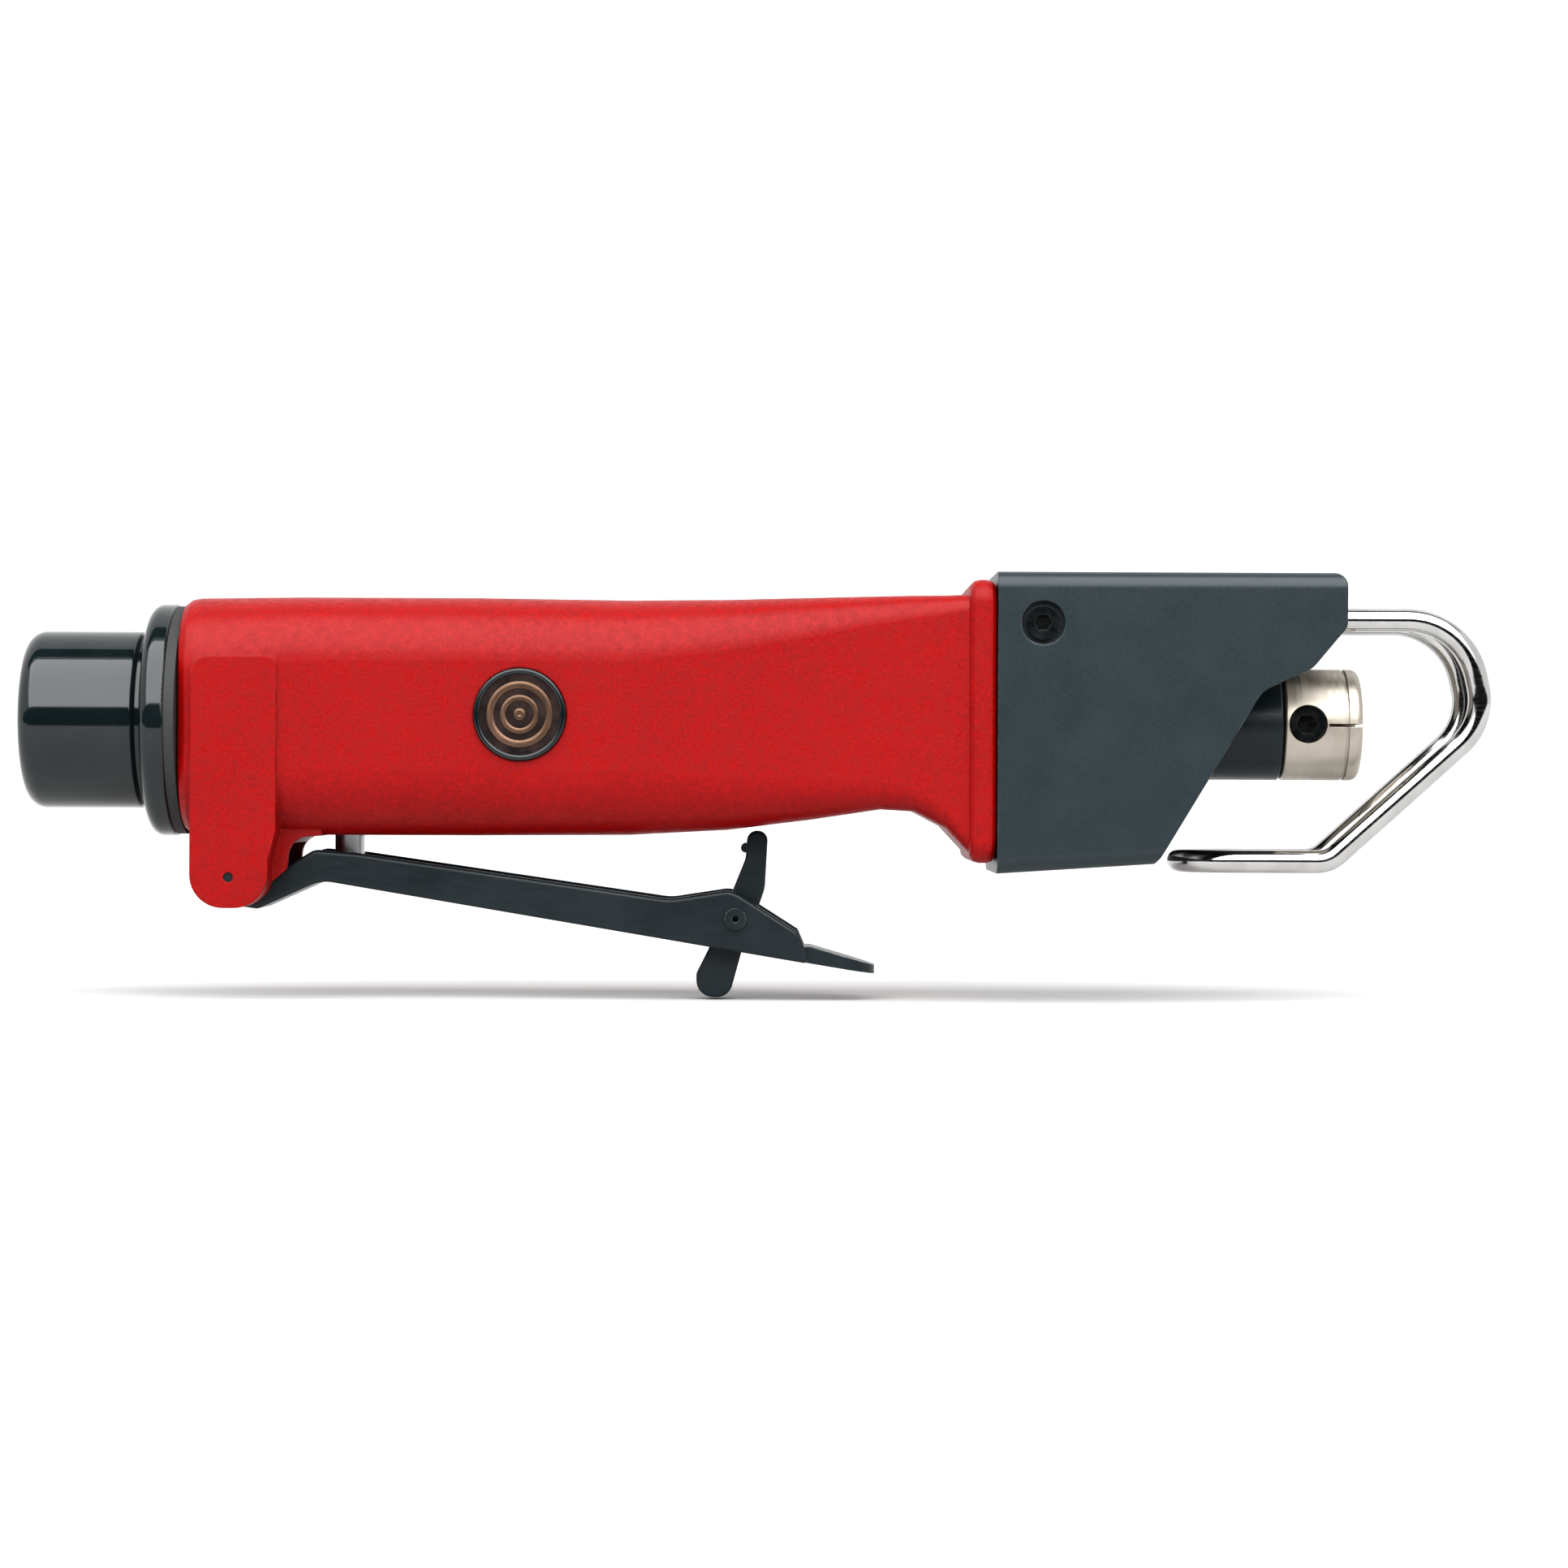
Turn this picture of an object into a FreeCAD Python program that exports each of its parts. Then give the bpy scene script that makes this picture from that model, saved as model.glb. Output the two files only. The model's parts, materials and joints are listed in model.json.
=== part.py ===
import FreeCAD, Part
import math
import os
import Sketcher

# Pneumatic reciprocating saw.
# Millimetres and degrees. X runs along the tool from the air inlet to the blade end, Z is up, and the origin is the
# centre of the air inlet's mouth.

SIZES = {
    # rear end
    "port_radius": 5.55,
    "port_depth": 13.0,
    "bushing_radius": 10.0,
    "bushing_neck_radius": 9.0,
    "bushing_end": 36.0,
    "passage_radius": 4.0,
    "cap_radius": 14.65,
    "cap_bore_radius": 12.6,
    "cap_neck_radius": 14.0,
    "cap_neck_start": 19.4,
    "collar_radius": 19.2,
    "collar_start": 20.6,
    "collar_end": 24.8,
    "gasket_radius": 18.9,
    # grip
    "grip_start": 26.5,
    "cheek_half_width": 17.5,
    "cheek_end": 42.9,
    "cheek_top": 10.2,
    "lug_end": 41.6,
    "lug_bottom": -30.7,
    "slot_half_width": 8.9,
    "flange_start": 155.2,
    "flange_end": 159.8,
    "flange_half_width": 19.4,
    "flange_top": 23.1,
    "flange_bottom": -22.9,
    "cylinder_radius": 12.0,
    "badge_along": 82.4,
    "badge_up": 0.9,
    "badge_radius": 7.5,
    # throttle valve
    "valve_along": 53.2,
    "valve_bore_radius": 5.0,
    "valve_bore_top": 10.0,
    "stem_radius": 1.45,
    "button_radius": 2.45,
    "stem_bottom": -25.0,
    "poppet_radius": 3.9,
    "spring_wire_radius": 0.35,
    # lever and latch
    "lever_pin_along": 35.3,
    "lever_pin_up": -25.7,
    "lever_pin_radius": 0.8,
    "lever_half_width": 8.5,
    "sheet_thickness": 1.6,
    "latch_pin_along": 117.4,
    "latch_pin_up": -32.4,
    "latch_pin_radius": 1.2,
    "latch_half_width": 3.5,
    # motor
    "chest_start": 84.0,
    "plate_start": 90.5,
    "cylinder_start": 92.0,
    "cylinder_end": 132.0,
    "cylinder_bore_radius": 9.0,
    "head_end": 144.0,
    "piston_start": 92.6,
    "piston_length": 24.0,
    "rod_radius": 4.0,
    # nose
    "nose_radius": 9.2,
    "nose_flange_end": 162.8,
    "nose_end": 207.3,
    "block_end": 182.0,
    "chuck_start": 207.6,
    "chuck_end": 220.4,
    "blade_slot_half_width": 0.7,
    "blade_slot_half_height": 6.5,
    "clamp_along": 211.3,
    "clamp_radius": 3.15,
    "dog_radius": 1.6,
    "rod_end": 216.0,
    "slot_floor": 208.9,
    # guard
    "guard_start": 159.8,
    "guard_end": 216.3,
    "guard_half_width": 19.5,
    "guard_top": 24.4,
    "guard_bottom": -24.6,
    "guard_wall": 2.5,
    "guard_screw_along": 167.1,
    "guard_screw_up": 16.1,
    # wire
    "wire_radius": 1.9,
    "wire_half_gap": 8.2,
    "wire_top": 17.1,
    "wire_bottom": -22.6,
    "wire_start": 171.0,
    "wire_bend_end": 199.1,
}

# Cross-sections of the grip from the rear to the front flange: name, place along the tool, top, bottom, half width
# and corner radius.
GRIP_SECTIONS = [
    ("rear", 29.3, 20.0, -19.0, 17.0, 12.0),
    ("palm", 46.0, 20.2, -18.9, 17.0, 10.8),
    ("belly", 75.0, 20.2, -18.9, 17.0, 10.6),
    ("waist", 100.0, 19.9, -18.7, 17.0, 10.4),
    ("finger", 116.0, 20.0, -17.8, 17.0, 8.6),
    ("slope", 130.0, 20.3, -16.0, 17.0, 6.6),
    ("groove", 141.0, 20.5, -14.3, 17.0, 4.6),
    ("throat", 146.5, 20.6, -14.6, 17.1, 3.8),
    ("flare", 151.5, 20.6, -17.2, 17.5, 3.2),
    ("front", 156.0, 20.7, -22.0, 18.2, 2.6),
]
for name, along, top, bottom, half, corner in GRIP_SECTIONS:
    SIZES[name + "_along"] = along
    SIZES[name + "_top"] = top
    SIZES[name + "_bottom"] = bottom
    SIZES[name + "_half_width"] = half
    SIZES[name + "_corner"] = corner


class Size:
    """A number that remembers the spreadsheet formula it comes from."""

    def __init__(self, value, text):
        self.value = value
        self.text = text

    def __add__(self, other):
        other = as_size(other)
        return Size(self.value + other.value, "(%s + %s)" % (self.text, other.text))

    def __sub__(self, other):
        other = as_size(other)
        return Size(self.value - other.value, "(%s - %s)" % (self.text, other.text))

    def __rsub__(self, other):
        return as_size(other) - self

    def __mul__(self, other):
        other = as_size(other)
        return Size(self.value * other.value, "(%s * %s)" % (self.text, other.text))

    def __neg__(self):
        return Size(-self.value, "(0 - %s)" % self.text)

    __radd__ = __add__
    __rmul__ = __mul__


def as_size(number):
    if isinstance(number, Size):
        return number
    return Size(float(number), "(%r)" % float(number))


doc = FreeCAD.newDocument("reciprocating_saw")
sheet = doc.addObject("Spreadsheet::Sheet", "sizes")
for row, (name, number) in enumerate(SIZES.items(), 1):
    sheet.set("A%d" % row, name)
    sheet.set("B%d" % row, str(number))
    sheet.setAlias("B%d" % row, name)
doc.recompute()


def size(name):
    return Size(SIZES[name], "sizes." + name)


nodes = []


def new_body(label):
    body = doc.addObject("PartDesign::Body", label)
    body.Label = label
    nodes.append(body)
    return body


PLANES = {"side": "XZ_Plane", "end": "YZ_Plane", "plan": "XY_Plane"}


def new_sketch(body, plane, offset=0.0):
    """A sketch on one of the body's own planes: side looks along +Y, end lies across X, plan lies flat."""
    sketch = doc.addObject("Sketcher::SketchObject", "sketch")
    body.addObject(sketch)
    support = [f for f in body.Origin.OriginFeatures if f.Role == PLANES[plane]][0]
    sketch.AttachmentSupport = [(support, "")]
    sketch.MapMode = "FlatFace"
    offset = as_size(offset)
    sketch.AttachmentOffset = FreeCAD.Placement(FreeCAD.Vector(0, 0, offset.value), FreeCAD.Rotation())
    if "sizes." in offset.text:
        sketch.setExpression("AttachmentOffset.Base.z", offset.text)
    return sketch


def constrain(sketch, kind, *values):
    """Adds one constraint whose last value is its size."""
    number = as_size(values[-1])
    index = sketch.addConstraint(Sketcher.Constraint(kind, *values[:-1], number.value))
    if "sizes." in number.text:
        sketch.setExpression("Constraints[%d]" % index, number.text)


def pin_down(sketch, geometry, end, x, y):
    """Fixes a point of the sketch at x, y from its origin."""
    constrain(sketch, "DistanceX", -1, 1, geometry, end, x)
    constrain(sketch, "DistanceY", -1, 1, geometry, end, y)


def circle(sketch, x, y, radius):
    x, y, radius = as_size(x), as_size(y), as_size(radius)
    shape = Part.Circle(FreeCAD.Vector(x.value, y.value, 0), FreeCAD.Vector(0, 0, 1), radius.value)
    index = sketch.addGeometry(shape, False)
    constrain(sketch, "Radius", index, radius)
    pin_down(sketch, index, 3, x, y)


def outline(sketch, corners, closed=True):
    """A loop, or an open path, of straight lines through corners (x, y) or (x, y, radius of the rounding)."""
    corners = [tuple(as_size(v) for v in corner) for corner in corners]
    points = [FreeCAD.Vector(c[0].value, c[1].value, 0) for c in corners]
    count = len(points)
    enters, leaves, centres = list(points), list(points), [None] * count
    for i, corner in enumerate(corners):
        if len(corner) < 3:
            continue
        before = (points[i - 1] - points[i]).normalize()
        after = (points[(i + 1) % count] - points[i]).normalize()
        half = before.getAngle(after) / 2
        radius = corner[2].value
        enters[i] = points[i] + before * (radius / math.tan(half))
        leaves[i] = points[i] + after * (radius / math.tan(half))
        centres[i] = points[i] + (before + after).normalize() * (radius / math.sin(half))
    lines = []
    for i in range(count if closed else count - 1):
        segment = Part.LineSegment(leaves[i], enters[(i + 1) % count])
        lines.append(sketch.addGeometry(segment, False))
    for i, corner in enumerate(corners):
        first = not closed and i == 0
        last = not closed and i == count - 1
        if first or last:
            line = lines[0] if first else lines[-1]
            pin_down(sketch, line, 1 if first else 2, corner[0], corner[1])
            continue
        into, out = lines[i - 1], lines[i]
        if centres[i] is None:
            sketch.addConstraint(Sketcher.Constraint("Coincident", into, 2, out, 1))
            pin_down(sketch, out, 1, corner[0], corner[1])
            continue
        start = enters[i] - centres[i]
        end = leaves[i] - centres[i]
        left_turn = start.cross(end).z > 0
        low, high = (start, end) if left_turn else (end, start)
        ring = Part.Circle(centres[i], FreeCAD.Vector(0, 0, 1), corner[2].value)
        angles = math.atan2(low.y, low.x), math.atan2(high.y, high.x)
        arc = sketch.addGeometry(Part.ArcOfCircle(ring, *angles), False)
        point = sketch.addGeometry(Part.Point(points[i]), True)
        sketch.addConstraint(Sketcher.Constraint("Tangent", into, 2, arc, 1 if left_turn else 2))
        sketch.addConstraint(Sketcher.Constraint("Tangent", arc, 2 if left_turn else 1, out, 1))
        sketch.addConstraint(Sketcher.Constraint("PointOnObject", point, 1, into))
        sketch.addConstraint(Sketcher.Constraint("PointOnObject", point, 1, out))
        constrain(sketch, "Radius", arc, corner[2])
        pin_down(sketch, point, 1, corner[0], corner[1])


def rectangle(sketch, low_x, low_y, high_x, high_y, radius=None):
    corners = [(low_x, low_y), (high_x, low_y), (high_x, high_y), (low_x, high_y)]
    if radius is not None:
        corners = [corner + (radius,) for corner in corners]
    outline(sketch, corners)


def add_feature(body, kind, sketch):
    feature = body.newObject("PartDesign::" + kind, kind)
    feature.Profile = sketch
    sketch.Visibility = False
    return feature


def extrude(body, kind, sketch, length, symmetric=False, backwards=False):
    """A Pad or a Pocket of the sketch."""
    feature = add_feature(body, kind, sketch)
    length = as_size(length)
    feature.SideType = "Symmetric" if symmetric else "One side"
    feature.Reversed = backwards
    feature.Length = length.value
    if "sizes." in length.text:
        feature.setExpression("Length", length.text)
    doc.recompute()
    return feature


def spin(body, kind, sketch, axis, angle=360.0):
    """A Revolution or a Groove of the sketch about its own H_Axis or V_Axis."""
    feature = add_feature(body, kind, sketch)
    feature.ReferenceAxis = (sketch, [axis])
    feature.Angle = angle
    doc.recompute()
    return feature


def section_sketch(body, along, half_width, bottom, top, corner):
    """A rounded rectangle across the tool."""
    sketch = new_sketch(body, "end", along)
    rectangle(sketch, -half_width, bottom, half_width, top, corner)
    return sketch


def loft(body, kind, sketches):
    """An AdditiveLoft or a SubtractiveLoft that runs straight from each sketch to the next."""
    feature = add_feature(body, kind, sketches[0])
    feature.Sections = sketches[1:]
    feature.Ruled = True
    doc.recompute()
    return feature


def turned(label, corners):
    """A round piece on the tool's axis, from its outline as (along, radius)."""
    body = new_body(label)
    sketch = new_sketch(body, "side")
    outline(sketch, corners)
    spin(body, "Revolution", sketch, "H_Axis")
    return body


def turned_upright(label, corners, along):
    """A round piece on an upright axis that crosses the tool's axis, from its outline as (radius, height)."""
    body = new_body(label)
    sketch = new_sketch(body, "side")
    outline(sketch, corners)
    spin(body, "Revolution", sketch, "V_Axis")
    body.Placement = FreeCAD.Placement(FreeCAD.Vector(as_size(along).value, 0, 0), FreeCAD.Rotation())
    if "sizes." in as_size(along).text:
        body.setExpression("Placement.Base.x", as_size(along).text)
    return body


def ring_corners(start, end, inner, outer):
    return [(start, inner), (end, inner), (end, outer), (start, outer)]


def drill(body, plane, offset, x, y, radius, depth, symmetric=False, backwards=False):
    """A round hole from a plane of the body."""
    sketch = new_sketch(body, plane, offset)
    circle(sketch, x, y, radius)
    return extrude(body, "Pocket", sketch, depth, symmetric, backwards)


def drill_ring(body, offset, count, ring_radius, radius, depth):
    """Equal holes along the tool's axis, spaced round a ring."""
    sketch = new_sketch(body, "end", offset)
    for i in range(count):
        angle = 2 * math.pi * (i + 0.5) / count
        circle(sketch, ring_radius * math.cos(angle), ring_radius * math.sin(angle), radius)
    return extrude(body, "Pocket", sketch, depth, backwards=True)


def round_edges(body, radius, wanted):
    """Rounds the edges of the body's last feature for which wanted(edge) is true."""
    doc.recompute()
    base = body.Tip
    names = ["Edge%d" % (i + 1) for i, edge in enumerate(base.Shape.Edges) if wanted(edge)]
    feature = body.newObject("PartDesign::Fillet", "Fillet")
    feature.Base = (base, names)
    feature.Radius = radius
    doc.recompute()
    return feature


def on_side(edge, half_width):
    """True for an edge that lies in one of the two side planes at half_width."""
    box = edge.BoundBox
    return box.YLength < 0.01 and abs(abs(box.Center.y) - half_width) < 0.01


def mirrored_pair(label, body, normal):
    """The body and its mirror image as one node of separate solids."""
    nodes.remove(body)
    mirror = doc.addObject("Part::Mirroring", label + "_mirror")
    mirror.Source = body
    mirror.Normal = normal
    pair = doc.addObject("Part::Compound", label)
    pair.Label = label
    pair.Links = [body, mirror]
    nodes.append(pair)
    doc.recompute()
    return pair


# ---------------------------------------------------------------- rear end


def inlet_bushing():
    bore, neck = size("port_radius"), size("bushing_neck_radius")
    outer, end = size("bushing_radius"), size("bushing_end")
    turned("inlet_bushing", [
        (0, bore), (size("port_depth"), bore), (size("port_depth"), size("passage_radius")),
        (29.0, size("passage_radius")), (29.0, 5.0), (end, 5.0), (end, neck), (size("grip_start"), neck),
        (size("grip_start"), outer), (0.5, outer), (0, outer - 0.5),
    ])


def inlet_screen():
    turned("inlet_screen", [(29.05, 0), (29.9, 0), (29.9, 4.95), (29.05, 4.95)])


def exhaust_cap():
    outer, neck, bore = size("cap_radius"), size("cap_neck_radius"), size("cap_bore_radius")
    neck_start, end = size("cap_neck_start"), size("collar_start")
    body = turned("exhaust_cap", [
        (0, size("bushing_radius") + 0.02), (2.2, size("bushing_radius") + 0.02), (2.2, bore), (end, bore),
        (end, neck), (neck_start, neck), (neck_start - 0.6, outer, 0.4), (0, outer, 3.0),
    ])
    drill_ring(body, 2.5, 14, 11.7, 0.75, 3.0)


def exhaust_muffler():
    turned("exhaust_muffler", ring_corners(3.2, 17.5, 10.1, 12.5))


def exhaust_collar():
    outer, start, end = size("collar_radius"), size("collar_start"), size("collar_end")
    body = turned("exhaust_collar", [
        (start, size("bushing_radius") + 0.02), (23.0, size("bushing_radius") + 0.02), (23.0, 16.8), (end, 16.8),
        (end, outer, 0.4), (start, outer, 2.0),
    ])
    drill_ring(body, 23.1, 10, 11.4, 1.1, 3.0)


def rear_gasket():
    start, end = size("collar_end"), size("grip_start")
    body = turned("rear_gasket", ring_corners(start, end, size("bushing_radius") + 0.02, size("gasket_radius")))
    ports = new_sketch(body, "end", start - 1)
    circle(ports, 10.6, 10.6, 1.9)
    circle(ports, -10.6, 10.6, 1.9)
    extrude(body, "Pocket", ports, 4, backwards=True)


# ---------------------------------------------------------------- grip


def motor_housing():
    body = new_body("motor_housing")
    # the rear rim is rounded by steps that follow a quarter ellipse
    rim_inset, rim_depth = 2.0, size("rear_along") - size("grip_start")
    sections = []
    for turn in (0, 30, 60):
        inset = rim_inset * (1 - math.sin(math.radians(turn)))
        along = size("grip_start") + rim_depth * (1 - math.cos(math.radians(turn)))
        sections.append(section_sketch(body, along, size("rear_half_width") - inset, size("rear_bottom") + inset,
                                       size("rear_top") - inset, size("rear_corner") - inset))
    for section in GRIP_SECTIONS:
        name = section[0]
        half = size(name + "_half_width")
        sections.append(section_sketch(body, size(name + "_along"), half, size(name + "_bottom"),
                                       size(name + "_top"), size(name + "_corner")))
    loft(body, "AdditiveLoft", sections)

    # the front flange is a bead whose edges are rounded by a quarter circle at each face
    start, end = size("flange_start"), size("flange_end")
    half, bottom, top = size("flange_half_width"), size("flange_bottom"), size("flange_top")
    bead = 1.7
    sections = []
    for turn in (0, 30, 60, 90):
        inset = bead * (1 - math.sin(math.radians(turn)))
        along = start + bead * (1 - math.cos(math.radians(turn)))
        sections.append(section_sketch(body, along, half - inset, bottom + inset, top - inset, 3.4))
    for turn in (90, 60, 30, 0):
        inset = bead * (1 - math.sin(math.radians(turn)))
        along = end - bead * (1 - math.cos(math.radians(turn)))
        sections.append(section_sketch(body, along, half - inset, bottom + inset, top - inset, 3.4))
    loft(body, "AdditiveLoft", sections)

    cheek = new_sketch(body, "side")
    start = size("grip_start") + 2.5
    outline(cheek, [
        (start, size("cheek_top"), 3), (start, size("lug_bottom"), 5.4), (size("lug_end"), size("lug_bottom"), 5.4),
        (size("lug_end"), -23.2), (size("cheek_end"), -18.0), (size("cheek_end"), size("cheek_top"), 1.5),
    ])
    extrude(body, "Pad", cheek, size("cheek_half_width") * 2, symmetric=True)

    web = new_sketch(body, "side")
    outline(web, [
        (size("lug_end") - 4, -17), (size("lug_end") - 4, -27.5), (size("lug_end") - 0.2, -26.6),
        (size("lug_end") + 2.4, -24.4, 0.7), (size("lug_end") + 2.8, -19.3, 3.2), (size("lug_end") + 8, -19.0),
        (size("lug_end") + 8, -17),
    ])
    extrude(body, "Pad", web, 21.0, symmetric=True)

    lever_slot = new_sketch(body, "side")
    rectangle(lever_slot, 30.5, -40, 52.0, -20.2)
    extrude(body, "Pocket", lever_slot, size("slot_half_width") * 2, symmetric=True)
    drill(body, "side", 0, size("lever_pin_along"), size("lever_pin_up"), size("lever_pin_radius"), 60, symmetric=True)

    # bores on the tool's axis
    bores = new_sketch(body, "side")
    start, end, big = size("grip_start") - 1, size("flange_end") + 1, size("cylinder_radius")
    outline(bores, [
        (start, 0), (start, size("bushing_neck_radius")), (size("bushing_end"), size("bushing_neck_radius")),
        (size("bushing_end"), 4.5), (size("valve_along"), 4.5), (size("valve_along"), 0),
    ])
    spin(body, "Groove", bores, "H_Axis")
    motor = new_sketch(body, "side")
    gallery = size("cylinder_start") + 16
    outline(motor, [
        (size("chest_start") - 2, 0), (end, 0), (end, big), (gallery + 4, big), (gallery + 4, 14.6),
        (gallery, 14.6), (gallery, big), (size("chest_start") - 2, big),
    ])
    spin(body, "Groove", motor, "H_Axis")

    # supply passage from the throttle valve to the motor, and the two exhaust passages back to the rear
    drill(body, "end", size("valve_along"), 0, -7.5, 2.8, size("chest_start") - size("valve_along"), backwards=True)
    exhaust = new_sketch(body, "end", size("grip_start") - 1)
    circle(exhaust, 10.6, 10.6, 1.8)
    circle(exhaust, -10.6, 10.6, 1.8)
    extrude(body, "Pocket", exhaust, gallery + 4 - size("grip_start") + 1, backwards=True)

    # throttle valve bore
    bore = new_sketch(body, "plan", -30)
    circle(bore, size("valve_along"), 0, size("valve_bore_radius"))
    extrude(body, "Pocket", bore, size("valve_bore_top") + 30, backwards=True)

    # recess for the badge
    recess = new_sketch(body, "side", 25)
    circle(recess, size("badge_along"), size("badge_up"), size("badge_radius") + 0.1)
    extrude(body, "Pocket", recess, 8.7)

    # threads for the nose screws
    threads = new_sketch(body, "end", size("flange_end") + 1)
    for y in (-14.0, 14.0):
        for z in (-14.5, 14.5):
            circle(threads, y, z, 1.5)
    extrude(body, "Pocket", threads, 9.0)


def badge():
    body = new_body("badge")
    sketch = new_sketch(body, "side", 16.3)
    circle(sketch, size("badge_along"), size("badge_up"), size("badge_radius"))
    extrude(body, "Pad", sketch, 1.2)
    round_edges(body, 0.4, lambda e: e.BoundBox.YMin < -17.4)


# ---------------------------------------------------------------- throttle valve


def throttle_valve():
    along, outer = size("valve_along"), size("valve_bore_radius")
    stem, button = size("stem_radius"), size("button_radius")
    body = turned_upright("throttle_valve_bushing", [
        (button + 0.05, -18.8), (outer, -18.8), (outer, -14.9), (outer - 0.9, -14.9), (outer - 0.9, -13.5),
        (outer, -13.5), (outer, -2.0), (3.0, -2.0), (3.0, -11.5), (button + 0.05, -11.5),
    ], along)
    sketch = new_sketch(body, "end", 0)
    circle(sketch, 0, -7.5, 2.2)
    extrude(body, "Pocket", sketch, 8.0, backwards=True)
    ring = new_body("valve_bushing_oring")
    sketch = new_sketch(ring, "side")
    circle(sketch, outer - 0.45, -14.2, 0.44)
    spin(ring, "Revolution", sketch, "V_Axis")
    ring.Placement = FreeCAD.Placement(FreeCAD.Vector(along.value, 0, 0), FreeCAD.Rotation())
    ring.setExpression("Placement.Base.x", along.text)
    turned_upright("throttle_valve_stem", [
        (0, size("stem_bottom")), (button, size("stem_bottom"), 1.5), (button, -13.8), (stem, -13.8),
        (stem, -0.4), (size("poppet_radius"), -0.4),
        (size("poppet_radius"), 1.6), (1.4, 1.6), (1.4, 5.0), (0, 5.0),
    ], along)
    turned_upright("throttle_valve_seal", [
        (stem + 0.02, -1.9), (size("poppet_radius"), -1.9), (size("poppet_radius"), -0.4), (stem + 0.02, -0.4),
    ], along)
    spring = new_body("throttle_valve_spring")
    sketch = new_sketch(spring, "side")
    circle(sketch, 2.6, 2.02, size("spring_wire_radius"))
    helix = add_feature(spring, "AdditiveHelix", sketch)
    helix.ReferenceAxis = (sketch, ["V_Axis"])
    helix.Mode = 0
    helix.Pitch = 1.5
    helix.Height = 7.55
    doc.recompute()
    spring.Placement = FreeCAD.Placement(FreeCAD.Vector(along.value, 0, 0), FreeCAD.Rotation())
    spring.setExpression("Placement.Base.x", along.text)


# ---------------------------------------------------------------- lever and latch


def cross_pin(label, along, up, radius, half_length):
    body = new_body(label)
    sketch = new_sketch(body, "side")
    circle(sketch, along, up, radius)
    extrude(body, "Pad", sketch, as_size(half_length) * 2, symmetric=True)
    return body


def lever_pin():
    half = size("cheek_half_width") - 0.3
    cross_pin("lever_pin", size("lever_pin_along"), size("lever_pin_up"), size("lever_pin_radius"), half)


def throttle_lever():
    body = new_body("throttle_lever")
    half, sheet = size("lever_half_width"), size("sheet_thickness")
    pin_x, pin_z = size("lever_pin_along"), size("lever_pin_up")
    side = new_sketch(body, "side")
    outline(side, [
        (pin_x - 4.3, pin_z - 4.3, 4.2), (38.9, -31.1, 1.2), (49.3, -26.4, 6), (130.0, -39.85, 0.8),
        (127.7, -34.5, 1.0), (116.8, -27.6, 4), (106.5, -29.2, 8), (55.6, -21.9, 6),
        (48.2, -21.3, 2.5), (42.8, -24.6, 2), (pin_x + 4.0, pin_z + 4.3, 2.0), (pin_x - 4.3, pin_z + 4.3, 4.2),
    ])
    extrude(body, "Pad", side, half * 2, symmetric=True)
    round_edges(body, 0.7, lambda e: on_side(e, SIZES["lever_half_width"]) and (
        e.BoundBox.XMin > 49 and e.BoundBox.ZMax < -26 and e.BoundBox.XLength > 50))
    inside = new_sketch(body, "side")
    outline(inside, [(26, -34.7), (49.2, -24.72, 5), (133, -38.72), (133, -15), (26, -15)])
    extrude(body, "Pocket", inside, (half - sheet) * 2, symmetric=True)
    tongue = new_sketch(body, "side")
    outline(tongue, [(127, -39.3), (140.4, -41.5), (140.4, -40.1), (129.8, -37.0, 3), (127, -36.9)])
    extrude(body, "Pad", tongue, 13.6, symmetric=True)
    round_edges(body, 5.5, lambda e: e.BoundBox.XMin > 140.3 and e.BoundBox.YLength < 0.1)
    slot = new_sketch(body, "plan", -31)
    rectangle(slot, 101.8, -4, 119.3, 4, 1.2)
    extrude(body, "Pocket", slot, 10)
    drill(body, "side", 0, pin_x, pin_z, size("lever_pin_radius") + 0.05, 40, symmetric=True)
    drill(body, "side", 0, size("latch_pin_along"), size("latch_pin_up"), size("latch_pin_radius"), 40,
          symmetric=True)


def latch_pin():
    half = size("lever_half_width")
    body = cross_pin("latch_pin", size("latch_pin_along"), size("latch_pin_up"), size("latch_pin_radius"), half)
    for side, backwards in ((half, False), (-half, True)):
        sketch = new_sketch(body, "side", side)
        circle(sketch, size("latch_pin_along"), size("latch_pin_up"), 1.8)
        extrude(body, "Pad", sketch, 0.7, backwards=backwards)
    drill(body, "side", half + 1, size("latch_pin_along"), size("latch_pin_up"), 0.55, 3.5)


def safety_latch():
    body = new_body("safety_latch")
    side = new_sketch(body, "side")
    outline(side, [
        (111.0, -45.4, 2.75), (116.3, -45.6, 2.6), (118.4, -38.0, 3), (120.6, -32.2, 6), (122.2, -27.5, 5),
        (122.7, -18.0, 1.6), (119.3, -18.0, 1.6), (119.0, -22.5, 4), (116.6, -28.5, 4), (114.3, -33.0, 4),
        (112.9, -37.6, 3), (110.9, -41.6, 1.8),
    ])
    extrude(body, "Pad", side, size("latch_half_width") * 2, symmetric=True)
    round_edges(body, 0.5, lambda e: on_side(e, SIZES["latch_half_width"]))
    nub = new_sketch(body, "side")
    circle(nub, 119.0, -20.8, 0.8)
    extrude(body, "Pad", nub, 5.0, symmetric=True)
    drill(body, "side", 0, size("latch_pin_along"), size("latch_pin_up"), size("latch_pin_radius") + 0.05, 40,
          symmetric=True)


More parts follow.
